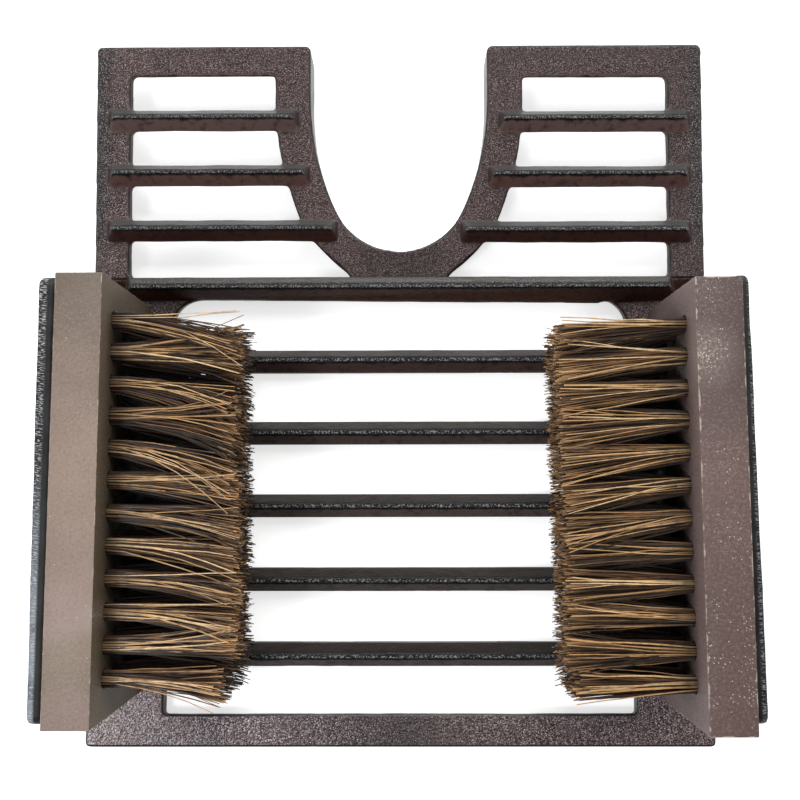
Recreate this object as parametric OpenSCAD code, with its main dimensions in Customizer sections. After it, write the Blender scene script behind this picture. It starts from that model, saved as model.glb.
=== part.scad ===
// Boot scraper with scraper bars, a boot jack and two side brushes.
// Millimetres, +Z up, +Y towards the boot jack, origin under the middle of the whole part.

/* [Frame] */
// Width of the frame over its side rails
frame_w = 294; // [280:1:330]
// Length of the frame, from the front edge to the back of the rear beam
frame_l = 221.6; // [205:0.2:260]
// Height of the rails and the front bar
frame_h = 7; // [6:0.5:12]
// Width of each side rail
rail_w = 36; // [34:1:44]
// Width of the front bar
front_bar_w = 15; // [12:0.5:22]
// Radius of the frame's outer corners
frame_corner_r = 2; // [1:0.5:4]
// Radius of the fillets where the rear beam meets the side rails
beam_fillet_r = 14; // [6:1:18]

/* [Scraper bars] */
// Width of a scraper bar
bar_w = 11; // [8:0.2:13]
// Height of a bar's straight sides
bar_side_h = 3; // [2:0.5:4]
// Height of a bar's ridge above its straight sides
bar_ridge_h = 7; // [4:0.5:9]
// Width of the worn flat along a ridge
ridge_flat = 1.6; // [0.8:0.2:2.4]
// Gap between the floor and the underside of a bar
bar_lift = 1; // [0.5:0.5:2]
// Clear gap between the front bar and the first scraper bar
front_gap = 21.5; // [16:0.5:30]
// Clear gap between the last scraper bar and the rear beam
rear_gap = 24.5; // [20:0.5:32]

/* [Rear beam] */
// Width of the rear beam
beam_w = 10; // [8:0.5:14]
// Height of the beam's ridge above the rails
beam_ridge_h = 8.5; // [7.5:0.5:12]
// Length by which the foot of the beam's ridge laps the side rails
beam_lap = 24; // [2:0.5:30]
// Length of the slope at each end of the beam's ridge
beam_end_l = 6; // [2:0.5:14]

/* [Boot jack] */
// Inset of the jack's sides from the frame's sides
jack_inset = 0; // [0:0.5:6]
// Length of the jack behind the beam
jack_l = 113.2; // [104:0.2:132]
// Height of the jack plate's top above the rails, at the beam
jack_step_h = 6; // [5.5:0.5:7]
// Rise of the jack plate from the beam to its back edge
jack_rise = 6; // [2:0.5:14]
// Thickness of the jack plate
jack_plate_t = 5; // [4:0.5:6]
// Width of the jack's outer rails
jack_rail_w = 16.5; // [12:0.5:20]
// Width of the jack's back rail
back_rail_w = 14.8; // [10:0.2:18]
// Radius of the jack's back corners
jack_corner_r = 3; // [1:0.5:5]
// Radius of the slots' outer corners
slot_corner_r = 2.5; // [1:0.5:5]
// Width of a rib between two slots
rib_w = 10; // [7:0.2:12]
// Height of a rib's ridge above the plate
rib_ridge_h = 5.8; // [3:0.2:8]
// Clear width of the slot next to the beam
front_slot_w = 17.4; // [15:0.2:24]
// Length by which a rib's foot laps the outer rail
rib_lap = 10; // [4:0.5:12]
// Distance of a rib's foot from the notch
rib_notch_gap = 6; // [4:0.5:9]
// Length of the slope at each end of a rib
rib_end_l = 3.5; // [1:0.5:6]
// Width of the heel notch at its mouth
notch_w = 86; // [78:1:94]
// Radius of the bottom of the notch
notch_bottom_r = 34; // [28:0.5:38]
// Length of the straight sides at the mouth of the notch
notch_straight_l = 25; // [20:1:40]
// Radius of the corners at the mouth of the notch
mouth_corner_r = 3; // [1:0.5:4]
// Iron left between the notch and the rear beam
notch_web = 12.7; // [10:0.1:16]
// Width of the rim around the notch
notch_rim_w = 17; // [14:0.5:18]
// Thickness of the notch's wall, which stands on the floor
notch_wall_t = 5; // [4:0.5:7]

/* [Cheeks] */
// Thickness of a cheek
cheek_t = 6.5; // [5:0.5:9]
// Height of a cheek above its rail
cheek_h = 66; // [58:1:70]
// Radius of a cheek's upper corners
cheek_corner_r = 5; // [2:0.5:9]
// Depth of the slope along a cheek's inner top edge
cheek_slope_h = 10; // [5:0.5:14]
// Thickness of a cheek's top edge
cheek_edge_t = 3.4; // [2.4:0.2:4.4]
// Distance of a cheek's front end from the frame's front edge
cheek_front_gap = 25.5; // [18:0.5:30]
// Distance of a cheek's back end from the rear beam
cheek_rear_gap = 3; // [2:0.5:10]

/* [Brush blocks] */
// Thickness of a brush block, with its bristle slice
block_t = 19.4; // [18:0.2:22]
// Height of a brush block
block_h = 75; // [70:1:84]
// Distance of a block's front end from the frame's front edge
block_front_gap = 24; // [18:0.5:30]
// Distance of a block's back end from the rear beam
block_rear_gap = 5; // [2:0.5:10]
// Clearance between a block and its cheek
block_clearance = 0.2; // [0.1:0.05:0.4]
// Shift of the left brush towards the boot jack, along its cheek
left_brush_shift = 1.5; // [-2:0.5:2]
// Shift of the right brush towards the boot jack, along its cheek
right_brush_shift = -1; // [-2:0.5:2]

/* [Bristles] */
// Free length of the bristles
bristle_l = 55; // [40:1:60]
// Thickness of the slice of the block that a row of bristles stands on
slice_t = 2.5; // [2:0.25:3.5]
// Diameter of a tuft's hole
tuft_hole_d = 8; // [7.6:0.1:8.6]
// Depth of a tuft's hole behind the slice
tuft_hole_l = 9; // [7:0.5:11]
// Radial clearance of a tuft's root in its hole
tuft_clearance = 0.15; // [0.1:0.05:0.3]
// Distance of the first and last tuft from the block's ends
tuft_end_gap = 17; // [14:0.5:22]
// Distance of the top row of tufts from the block's top
tuft_top_gap = 17; // [14:0.5:20]
// Height between two rows of tufts
tuft_row_pitch = 14.5; // [13:0.25:15.5]
// Thickness of a strand at its root
strand_root_t = 2.3; // [1.8:0.1:2.5]
// Thickness of a strand at its tip
strand_tip_t = 1.9; // [1.4:0.1:2.4]
// Gap between two strands of a tuft at their roots
strand_gap = 0.7; // [0.5:0.1:0.9]
// Length by which the bristle tips lean towards the front
bristle_lean = 3; // [0:0.5:5]
// Largest stray of a strand's tip from its place
strand_stray = 0.8; // [0:0.1:1]

/* [Tuft anchors] */
// Thickness of an anchor strip
anchor_t = 0.6; // [0.4:0.1:1]
// Length of an anchor strip
anchor_l = 6.6; // [5:0.2:7]
// Width of an anchor strip
anchor_w = 2.4; // [1.6:0.2:3]

/* [Fasteners] */
// Diameter of a brush screw
screw_d = 4; // [3.5:0.1:4.6]
// Length of a brush screw inside the block
screw_bite = 13; // [9:0.5:14]
// Length of a brush screw's point
screw_point_l = 3; // [2:0.5:4]
// Diameter of a brush screw's head
screw_head_d = 8; // [7:0.2:10]
// Height of a brush screw's head
screw_head_h = 2.6; // [2:0.2:3.4]
// Radial clearance of a screw in the cheek
screw_clearance = 0.4; // [0.2:0.1:0.8]
// Radial clearance of a screw in its pilot hole
pilot_clearance = 0.1; // [0.05:0.05:0.2]
// Diameter of a washer
washer_d = 11; // [10.4:0.2:14]
// Thickness of a washer
washer_t = 1; // [0.8:0.1:1.6]

/* [Hidden] */
$fn = 64;
bar_count = 5;
rib_count = 3;
tuft_columns = 12;
tuft_rows = 4;
tuft_grid = 2;
root_sides = 6;
// The screws pass between the tufts: this many tufts from the middle, between the middle rows.
screw_columns = 4;
screw_row = 1.5;
// A cut runs this far past the faces that it opens.
over = 1;
// Joined solids sink this far into each other.
sink = 0.5;

// Lengths along Y are counted from the frame's front edge.
opening_w = frame_w - 2 * rail_w;
beam_y = frame_l - beam_w;
first_bar_y = front_bar_w + front_gap + bar_w / 2;
last_bar_y = beam_y - rear_gap - bar_w / 2;
bar_pitch = (last_bar_y - first_bar_y) / (bar_count - 1);
opening_l = beam_y - front_bar_w;

rib_pitch = (jack_l - front_slot_w - back_rail_w) / rib_count;
slot_w = rib_pitch - rib_w;
jack_w = frame_w - 2 * jack_inset;
slots_w = jack_w - 2 * jack_rail_w;
jack_z = frame_h + jack_step_h;
total_l = frame_l + jack_l;
first_rib_y = frame_l + front_slot_w + rib_w / 2;

// The notch: a round bottom, two long side arcs tangent to it, and a straight mouth.
notch_bottom_y = frame_l + notch_web;
notch_arc_y = notch_bottom_y + notch_bottom_r;
notch_side_y = total_l - notch_straight_l;
notch_arc_rise = notch_side_y - notch_arc_y;
notch_half_w = notch_w / 2;
notch_side_r = (notch_half_w ^ 2 + notch_arc_rise ^ 2 - notch_bottom_r ^ 2)
    / (2 * (notch_half_w - notch_bottom_r));
notch_side_x = notch_side_r - notch_half_w;
notch_tangent = atan2(notch_arc_rise, notch_side_x);
notch_tangent_y = notch_arc_y - notch_bottom_r * sin(notch_tangent);

cheek_x = frame_w / 2 - cheek_t;
block_back_x = cheek_x - block_clearance;
block_face_x = block_back_x - block_t;
slice_x = block_face_x + slice_t;
cheek_l = beam_y - cheek_rear_gap - cheek_front_gap;
cheek_mid_y = cheek_front_gap + cheek_l / 2;
block_y = block_front_gap;
block_l = beam_y - block_rear_gap - block_front_gap;

tuft_pitch = (block_l - 2 * tuft_end_gap) / (tuft_columns - 1);
tuft_top_z = frame_h + block_h - tuft_top_gap;
strand_root_pitch = strand_root_t + strand_gap;

screw_z = tuft_z(screw_row);
pilot_d = screw_d + 2 * pilot_clearance;
cheek_hole_d = screw_d + 2 * screw_clearance;

iron = [0.17, 0.14, 0.14];
paint = [0.52, 0.47, 0.44];
fibre = [0.47, 0.34, 0.19];
steel = [0.62, 0.62, 0.63];

function brush_shift(side) = side < 0 ? left_brush_shift : right_brush_shift;
function tuft_y(column) = block_y + tuft_end_gap + column * tuft_pitch;
function tuft_z(row) = tuft_top_z - row * tuft_row_pitch;
// Upper edge of a row's slice, which for the row past the last one is the block's foot.
function row_edge(row) =
    row == 0 ? frame_h + block_h : row == tuft_rows ? frame_h : tuft_z(row - 1 / 2);
function screw_y(side) = block_y + block_l / 2 + side * screw_columns * tuft_pitch;
function jack_top(y) = jack_z + jack_rise * (y - frame_l) / jack_l;
// Half the width of the notch at a distance from the frame's front edge.
function notch_x(y) =
    y > notch_side_y ? notch_half_w
    : y > notch_tangent_y ? sqrt(notch_side_r ^ 2 - (y - notch_side_y) ^ 2) - notch_side_x
    : sqrt(max(0, notch_bottom_r ^ 2 - (y - notch_arc_y) ^ 2));

// Moves a piece from the front edge's frame to the part's own frame.
module place() {
    translate([0, -total_l / 2, 0]) children();
}

// The right side's pieces are drawn, and the left side's are their mirror image.
module on_side(side) {
    place() mirror([side < 0 ? 1 : 0, 0, 0]) children();
}

// Runs a section, drawn in Y and Z, along X.
module along_x(length) {
    translate([-length / 2, 0, 0]) rotate([90, 0, 90]) linear_extrude(length) children();
}

// Keeps what lies between two places on X, with a slope at each end that rises from one height to another.
module sloped_ends(from_x, to_x, end_l, low_z, high_z) {
    intersection() {
        children();
        translate([0, total_l, 0]) rotate([90, 0, 0]) linear_extrude(total_l) polygon([
            [from_x, 0],
            [to_x, 0],
            [to_x, low_z],
            [to_x - end_l, high_z],
            [from_x + end_l, high_z],
            [from_x, low_z]
        ]);
    }
}

// A rectangle with rounded back corners, and rounded front corners too where front_r is set.
module rounded_plate(width, length, back_r, front_r) {
    half = width / 2;
    if (front_r > 0) {
        for (x = [front_r - half, half - front_r]) translate([x, front_r]) circle(front_r);
        translate([front_r - half, 0]) square([width - 2 * front_r, front_r]);
    }
    translate([-half, front_r]) square([width, length - back_r - front_r]);
    translate([back_r - half, length - back_r - sink]) square([width - 2 * back_r, back_r + sink]);
    for (x = [back_r - half, half - back_r]) translate([x, length - back_r]) circle(back_r);
}

// The heel notch's outline, grown outwards by an amount.
module notch(grow) {
    bottom_r = notch_bottom_r + grow;
    side_r = notch_side_r + grow;
    half = notch_half_w + grow;
    tangent_y = notch_arc_y - bottom_r * sin(notch_tangent);
    translate([0, notch_arc_y]) circle(bottom_r);
    intersection() {
        translate([-notch_side_x, notch_side_y]) circle(side_r);
        translate([notch_side_x, notch_side_y]) circle(side_r);
        translate([-half, tangent_y]) square([2 * half, notch_side_y - tangent_y]);
    }
    translate([-half, notch_side_y - sink]) square([2 * half, notch_straight_l + sink + over]);
}

module base_frame() {
    ridge_x = opening_w / 2 + beam_lap;
    color(iron) place() {
        difference() {
            linear_extrude(frame_h) rounded_plate(frame_w, frame_l, frame_corner_r, frame_corner_r);
            translate([0, front_bar_w, -over])
                linear_extrude(frame_h + 2 * over) rounded_plate(opening_w, opening_l, beam_fillet_r, 0);
        }
        along_x(jack_w) polygon([
            [beam_y, frame_h - sink],
            [beam_y, frame_h],
            [frame_l, jack_z],
            [frame_l, frame_h - sink]
        ]);
        sloped_ends(-ridge_x, ridge_x, beam_end_l, frame_h, frame_h + beam_ridge_h)
            along_x(jack_w) polygon([
                [beam_y, frame_h - sink],
                [beam_y, frame_h],
                [beam_y + (beam_w - ridge_flat) / 2, frame_h + beam_ridge_h],
                [beam_y + (beam_w + ridge_flat) / 2, frame_h + beam_ridge_h],
                [frame_l, jack_z],
                [frame_l, frame_h - sink]
            ]);
    }
}

module scraper_bar(index) {
    shoulder = bar_lift + bar_side_h;
    color(iron) place() translate([0, first_bar_y + (bar_count - index) * bar_pitch, 0])
        along_x(opening_w) polygon([
            [-bar_w / 2, bar_lift],
            [bar_w / 2, bar_lift],
            [bar_w / 2, shoulder],
            [ridge_flat / 2, shoulder + bar_ridge_h],
            [-ridge_flat / 2, shoulder + bar_ridge_h],
            [-bar_w / 2, shoulder]
        ]);
}

// The slots run right across, and the rim around the notch parts each into a left and a right one.
module jack_slots() {
    difference() {
        union() {
            translate([0, frame_l]) rounded_plate(slots_w, front_slot_w, slot_corner_r, slot_corner_r);
            for (i = [0 : rib_count - 1])
                translate([0, first_rib_y + i * rib_pitch + rib_w / 2])
                    rounded_plate(slots_w, slot_w, slot_corner_r, slot_corner_r);
        }
        notch(notch_rim_w);
    }
}

// The jack's outline around the notch, with rounded corners at the notch's mouth.
module jack_outline() {
    difference() {
        translate([0, frame_l]) rounded_plate(jack_w, jack_l, jack_corner_r, 0);
        notch(0);
        for (end = [0, 1]) mirror([end, 0]) translate([notch_half_w, total_l - mouth_corner_r])
            difference() {
                translate([-over, 0]) square([mouth_corner_r + over, mouth_corner_r + over]);
                translate([mouth_corner_r, 0]) circle(mouth_corner_r);
            }
    }
}

module jack_plate() {
    intersection() {
        linear_extrude(jack_z + jack_rise + over) difference() {
            jack_outline();
            jack_slots();
        }
        along_x(jack_w + 2 * over) polygon([
            [frame_l, jack_z - jack_plate_t],
            [total_l, jack_z + jack_rise - jack_plate_t],
            [total_l, jack_z + jack_rise],
            [frame_l, jack_z]
        ]);
    }
}

module notch_wall() {
    intersection() {
        linear_extrude(jack_z + jack_rise) intersection() {
            jack_outline();
            notch(notch_wall_t);
        }
        along_x(jack_w) polygon([
            [frame_l, 0],
            [total_l, 0],
            [total_l, jack_z + jack_rise - jack_plate_t + sink],
            [frame_l, jack_z - jack_plate_t + sink]
        ]);
    }
}

module jack_rib(index) {
    y = first_rib_y + index * rib_pitch;
    ridge_z = jack_top(y) + rib_ridge_h;
    inner_x = notch_x(y) + rib_notch_gap;
    outer_x = slots_w / 2 + rib_lap;
    for (end = [0, 1]) mirror([end, 0])
        sloped_ends(inner_x, outer_x, rib_end_l, jack_top(y), ridge_z)
            along_x(jack_w) polygon([
                [y - rib_w / 2, jack_top(y - rib_w / 2) - sink],
                [y + rib_w / 2, jack_top(y + rib_w / 2) - sink],
                [y + rib_w / 2, jack_top(y + rib_w / 2)],
                [y + ridge_flat / 2, ridge_z],
                [y - ridge_flat / 2, ridge_z],
                [y - rib_w / 2, jack_top(y - rib_w / 2)]
            ]);
}

module boot_jack() {
    color(iron) place() {
        jack_plate();
        notch_wall();
        for (i = [0 : rib_count - 1]) jack_rib(i);
    }
}

module cheek(side) {
    color(iron) on_side(side) translate([cheek_x, cheek_mid_y, frame_h]) difference() {
        rotate([90, 0, 90]) linear_extrude(cheek_t) rounded_plate(cheek_l, cheek_h, cheek_corner_r, 0);
        translate([0, cheek_l / 2 + over, 0]) rotate([90, 0, 0]) linear_extrude(cheek_l + 2 * over) polygon([
            [-over, cheek_h - cheek_slope_h],
            [0, cheek_h - cheek_slope_h],
            [cheek_t - cheek_edge_t, cheek_h + over],
            [-over, cheek_h + over]
        ]);
        for (end = [-1, 1])
            translate([-over, screw_y(end) - cheek_mid_y, screw_z - frame_h])
                rotate([0, 90, 0]) cylinder(d = cheek_hole_d, h = cheek_t + 2 * over);
    }
}

module brush_block(side) {
    shift = brush_shift(side);
    color(paint) on_side(side) difference() {
        translate([slice_x, block_y + shift, frame_h]) cube([block_t - slice_t, block_l, block_h]);
        for (row = [0 : tuft_rows - 1])
            for (column = [0 : tuft_columns - 1])
                translate([slice_x - over, tuft_y(column) + shift, tuft_z(row)])
                    rotate([0, 90, 0]) cylinder(d = tuft_hole_d, h = tuft_hole_l + over);
        for (end = [-1, 1])
            translate([block_back_x - screw_bite, screw_y(end), screw_z])
                rotate([0, 90, 0]) cylinder(d = pilot_d, h = screw_bite + over);
    }
}

// One strand is a four-sided rod from its root, inside the slice, to its tip.
function ring(x, y, z, t) = [
    [x, y - t / 2, z - t / 2],
    [x, y + t / 2, z - t / 2],
    [x, y + t / 2, z + t / 2],
    [x, y - t / 2, z + t / 2]
];
function strand(y, z, dy, dz, stray) = concat(
    ring(block_face_x + slice_t / 2, y + dy * strand_root_pitch, z + dz * strand_root_pitch, strand_root_t),
    ring(
        block_face_x - bristle_l,
        y + dy * tuft_pitch / tuft_grid + stray[0] * strand_stray - bristle_lean,
        z + dz * tuft_row_pitch / tuft_grid + stray[1] * strand_stray,
        strand_tip_t
    )
);
strand_faces = [
    [0, 2, 1], [0, 3, 2], [4, 5, 6], [4, 6, 7],
    [0, 5, 4], [0, 1, 5], [1, 6, 5], [1, 2, 6],
    [2, 7, 6], [2, 3, 7], [3, 4, 7], [3, 0, 4]
];

module strands(row) {
    strands_in_row = tuft_columns * tuft_grid * tuft_grid;
    stray = rands(-1, 1, 2 * strands_in_row, row);
    points = [
        for (k = [0 : strands_in_row - 1])
            let (
                column = floor(k / (tuft_grid * tuft_grid)),
                dy = k % tuft_grid - 0.5,
                dz = floor(k / tuft_grid) % tuft_grid - 0.5
            )
            each strand(tuft_y(column), tuft_z(row), dy, dz, [stray[2 * k], stray[2 * k + 1]])
    ];
    faces = [for (k = [0 : strands_in_row - 1]) for (face = strand_faces) face + [1, 1, 1] * 8 * k];
    polyhedron(points, faces);
}

// A row of tufts: its strands, the slice of the block around them and the roots behind it.
// A resize to no size keeps the size, and joins the row to one mesh.
module bristles(side, row) {
    root_l = tuft_hole_l - anchor_t;
    root_d = tuft_hole_d - 2 * tuft_clearance;
    color(fibre) on_side(side) translate([0, brush_shift(side), 0]) resize([0, 0, 0]) union() {
        translate([block_face_x, block_y, row_edge(row + 1)])
            cube([slice_t, block_l, row_edge(row) - row_edge(row + 1)]);
        strands(row);
        for (column = [0 : tuft_columns - 1])
            translate([slice_x - sink, tuft_y(column), tuft_z(row)])
                rotate([0, 90, 0]) cylinder(d = root_d, h = root_l + sink, $fn = root_sides);
    }
}

module tuft_anchors(side) {
    anchor_x = slice_x + tuft_hole_l - anchor_t;
    color(steel) on_side(side) translate([0, brush_shift(side), 0])
        for (row = [0 : tuft_rows - 1])
            for (column = [0 : tuft_columns - 1])
                translate([anchor_x, tuft_y(column) - anchor_l / 2, tuft_z(row) - anchor_w / 2])
                    cube([anchor_t, anchor_l, anchor_w]);
}

module brush_screws(side) {
    seat_x = frame_w / 2 + washer_t;
    shank_l = seat_x - (block_back_x - screw_bite);
    color(steel) on_side(side)
        for (end = [-1, 1])
            translate([seat_x, screw_y(end), screw_z]) rotate([0, 90, 0]) rotate_extrude() polygon([
                [0, -shank_l],
                [screw_d / 2, screw_point_l - shank_l],
                [screw_d / 2, 0],
                [screw_head_d / 2, 0],
                [screw_head_d / 2, screw_head_h / 2],
                [screw_head_d / 4, screw_head_h],
                [0, screw_head_h]
            ]);
}

module screw_washers(side) {
    color(steel) on_side(side)
        for (end = [-1, 1])
            translate([frame_w / 2, screw_y(end), screw_z]) rotate([0, 90, 0]) difference() {
                cylinder(d = washer_d, h = washer_t);
                translate([0, 0, -over]) cylinder(d = cheek_hole_d, h = washer_t + 2 * over);
            }
}

base_frame();
scraper_bar(1);  // scraper_bar_1
scraper_bar(2);  // scraper_bar_2
scraper_bar(3);  // scraper_bar_3
scraper_bar(4);  // scraper_bar_4
scraper_bar(5);  // scraper_bar_5
boot_jack();
cheek(-1);  // left_cheek
cheek(1);  // right_cheek
brush_block(-1);  // left_brush_block
brush_block(1);  // right_brush_block
bristles(-1, 0);  // left_bristles_1
bristles(-1, 1);  // left_bristles_2
bristles(-1, 2);  // left_bristles_3
bristles(-1, 3);  // left_bristles_4
bristles(1, 0);  // right_bristles_1
bristles(1, 1);  // right_bristles_2
bristles(1, 2);  // right_bristles_3
bristles(1, 3);  // right_bristles_4
tuft_anchors(-1);  // left_tuft_anchors
tuft_anchors(1);  // right_tuft_anchors
brush_screws(-1);  // left_brush_screws
brush_screws(1);  // right_brush_screws
screw_washers(-1);  // left_screw_washers
screw_washers(1);  // right_screw_washers
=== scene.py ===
# %% [markdown]
# # A cast iron boot scraper with a boot jack and two side brushes
# The real scraper is one rough iron casting, two painted wooden blocks and a few thousand stiff
# plant fibres. The construction is already settled in a CAD model, which is loaded here as a fixed
# frame. Everything in this file dresses that frame: the pieces stay in their places, and the whole
# keeps its size. Only some edges are drawn a few millimetres towards those of the real casting.

# %% Load the frame
import math

import bpy
import numpy as np
from mathutils import Matrix, Vector


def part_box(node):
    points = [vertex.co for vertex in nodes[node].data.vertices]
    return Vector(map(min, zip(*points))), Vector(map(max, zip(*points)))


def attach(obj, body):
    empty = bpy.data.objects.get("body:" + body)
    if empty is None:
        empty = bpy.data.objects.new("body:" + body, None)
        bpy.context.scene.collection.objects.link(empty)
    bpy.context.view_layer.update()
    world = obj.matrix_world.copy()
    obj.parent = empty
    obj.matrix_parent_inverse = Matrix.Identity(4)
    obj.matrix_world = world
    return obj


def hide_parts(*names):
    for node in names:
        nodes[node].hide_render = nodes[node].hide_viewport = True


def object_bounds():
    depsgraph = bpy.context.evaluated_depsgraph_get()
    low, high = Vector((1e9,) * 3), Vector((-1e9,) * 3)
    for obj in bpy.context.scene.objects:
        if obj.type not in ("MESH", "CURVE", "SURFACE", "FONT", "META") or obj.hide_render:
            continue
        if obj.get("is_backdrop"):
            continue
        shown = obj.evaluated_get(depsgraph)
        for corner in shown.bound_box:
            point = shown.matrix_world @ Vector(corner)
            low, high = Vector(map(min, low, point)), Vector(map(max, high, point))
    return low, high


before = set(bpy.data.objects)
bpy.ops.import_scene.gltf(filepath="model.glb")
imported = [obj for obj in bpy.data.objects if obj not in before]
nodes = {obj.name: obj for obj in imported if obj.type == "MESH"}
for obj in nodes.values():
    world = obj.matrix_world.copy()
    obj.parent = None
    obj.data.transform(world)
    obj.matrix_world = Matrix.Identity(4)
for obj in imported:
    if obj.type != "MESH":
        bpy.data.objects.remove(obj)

cad_low, cad_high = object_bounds()
MM = 0.001
print("CAD box in millimetres:", [round(size / MM, 1) for size in cad_high - cad_low])

# %% [markdown]
# ## Working with one object at a time
# Blender's operators act on whatever is selected, and the loader leaves the whole frame selected.
# These small helpers select one object, apply one modifier, or take a working copy of CAD nodes.
# A copy is merged first, because the frame's meshes are loose triangles.


# %% Helpers for selecting, copying and applying
def only(obj):
    """Selects one object and makes it the active one."""
    bpy.ops.object.select_all(action="DESELECT")
    obj.select_set(True)
    bpy.context.view_layer.objects.active = obj


def shape_with(obj, kind, **settings):
    """Adds one modifier to an object, sets it up and applies it."""
    only(obj)
    bpy.ops.object.modifier_add(type=kind)
    modifier = obj.modifiers[-1]
    for name, value in settings.items():
        setattr(modifier, name, value)
    bpy.ops.object.modifier_apply(modifier=modifier.name)


def settle(obj):
    """Puts an object's place, turn and size into its mesh."""
    only(obj)
    bpy.ops.object.transform_apply(location=True, rotation=True, scale=True)


def copy_of(name, *cad_names):
    """A new object with the merged meshes of some CAD nodes."""
    copies = []
    for cad_name in cad_names:
        twin = bpy.data.objects.new(name, nodes[cad_name].data.copy())
        bpy.context.scene.collection.objects.link(twin)
        copies.append(twin)
    only(copies[0])
    for twin in copies:
        twin.select_set(True)
    if len(copies) > 1:
        bpy.ops.object.join()
    bpy.ops.object.mode_set(mode="EDIT")
    bpy.ops.mesh.select_all(action="SELECT")
    bpy.ops.mesh.remove_doubles(threshold=0.001 * MM)
    bpy.ops.object.mode_set(mode="OBJECT")
    copies[0].data.materials.clear()
    return copies[0]


def points_of(obj):
    """The places of an object's vertices, one row each."""
    flat = np.empty(len(obj.data.vertices) * 3)
    obj.data.vertices.foreach_get("co", flat)
    return flat.reshape(-1, 3)


def move_points(obj, points):
    """Writes new places for an object's vertices."""
    obj.data.vertices.foreach_set("co", points.ravel())
    obj.data.update()


def keep_inside(obj, low, high):
    """Presses a piece back into a box, so that its feet are flat and it stays at its CAD size."""
    move_points(obj, np.clip(points_of(obj), low, high))


def finish_piece(obj, material, slot, *cad_names):
    """Gives a piece its finish, and hides the CAD nodes that it stands for."""
    obj.data.materials.clear()
    obj.data.materials.append(material)
    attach(obj, "root")
    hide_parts(*cad_names)
    print(obj.name, "has", len(obj.data.polygons), "faces")


# %% [markdown]
# ## The camera
# The picture was taken by hand from almost straight above, leaning a little towards the boot jack.
# The lens length, the place and the three small turns below were worked out by fitting the frame's
# corners, bars and blocks. Camera matrices have the camera's right, up and back as columns.

# %% Camera
picture_size = 800
focal_length = 945
sensor = 36.0
camera_place = Vector((2.99, -48.69, 460.73)) * MM
camera_tilt = math.radians(-5.505)
camera_yaw = math.radians(-0.338)
camera_roll = math.radians(0.141)

bpy.ops.object.select_all(action="DESELECT")
bpy.ops.object.camera_add()
camera = bpy.context.object
camera.data.sensor_width = sensor
camera.data.lens = sensor * focal_length / picture_size
camera.data.clip_start = 0.01
turn = (
    Matrix.Rotation(-camera_tilt, 3, "X")
    @ Matrix.Rotation(-camera_yaw, 3, "Y")
    @ Matrix.Rotation(-camera_roll, 3, "Z")
)
camera.matrix_world = Matrix.Translation(camera_place) @ turn.to_4x4()
bpy.context.scene.camera = camera
print("camera lens in millimetres:", round(camera.data.lens, 1))

# %% [markdown]
# ## Nodes in a few words
# Materials are networks of nodes. Adding a node, setting its values and linking its inputs always
# takes the same steps, so one helper does them: an input that is given a socket is linked, and any
# other value is set. The other helpers are short names for the nodes that come up most, and for new
# materials and node groups.


# %% Helpers for nodes
def node(tree, kind, inputs=None, **settings):
    """Adds a node. inputs maps a socket's name or number to a value or to another node's socket."""
    new = tree.nodes.new(kind)
    for name, value in settings.items():
        setattr(new, name, value)
    for key, value in (inputs or {}).items():
        if isinstance(value, bpy.types.NodeSocket):
            tree.links.new(value, new.inputs[key])
        else:
            new.inputs[key].default_value = value
    return new


def math_node(tree, operation, a, b=0.0):
    """One sum on values or sockets."""
    return node(tree, "ShaderNodeMath", {0: a, 1: b}, operation=operation).outputs[0]


def times(tree, a, b):
    """The product of two values or sockets."""
    return math_node(tree, "MULTIPLY", a, b)


def minus(tree, a, b):
    """The difference of two values or sockets."""
    return math_node(tree, "SUBTRACT", a, b)


def vector_math(tree, operation, a, b=(0, 0, 0)):
    """One sum on vectors. A distance or a dot product is a value, and anything else is a vector."""
    new = node(tree, "ShaderNodeVectorMath", {0: a, 1: b}, operation=operation)
    return new.outputs["Value" if operation in ("DISTANCE", "DOT_PRODUCT") else "Vector"]


def axes(tree, vector):
    """The X, Y and Z of a vector."""
    return node(tree, "ShaderNodeSeparateXYZ", {0: vector}).outputs


# %% Helpers for patterns and colours
def noise(tree, place, scale, detail, roughness=0.5, distortion=0.0):
    """A cloudy pattern of values round one half."""
    inputs = {"Vector": place, "Scale": scale, "Detail": detail, "Roughness": roughness}
    return node(tree, "ShaderNodeTexNoise", {**inputs, "Distortion": distortion}).outputs["Fac"]


def attribute(tree, name):
    """A value that the mesh carries from point to point."""
    return node(tree, "ShaderNodeAttribute", attribute_name=name).outputs["Fac"]


def mix(tree, factor, a, b):
    """Mixes two colours."""
    new = node(tree, "ShaderNodeMix", data_type="RGBA")
    for key, value in (("Factor_Float", factor), ("A_Color", a), ("B_Color", b)):
        socket = next(s for s in new.inputs if s.identifier == key)
        if isinstance(value, bpy.types.NodeSocket):
            tree.links.new(value, socket)
        else:
            socket.default_value = value
    return next(s for s in new.outputs if s.identifier == "Result_Color")


def ramp(tree, factor, *stops):
    """A ramp through (position, colour) stops."""
    new = node(tree, "ShaderNodeValToRGB", {0: factor})
    band = new.color_ramp.elements
    while len(band) < len(stops):
        band.new(1.0)
    for element, (position, colour) in zip(band, stops):
        element.position = position
        element.color = colour
    return new.outputs["Color"]


def span(tree, value, low, high, to_low=0.0, to_high=1.0):
    """Maps a value from one range to another, and stops at its ends."""
    inputs = {"Value": value, "From Min": low, "From Max": high, "To Min": to_low, "To Max": to_high}
    return node(tree, "ShaderNodeMapRange", inputs).outputs["Result"]


def rgb(red, green, blue):
    """An opaque colour."""
    return (red, green, blue, 1.0)


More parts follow.
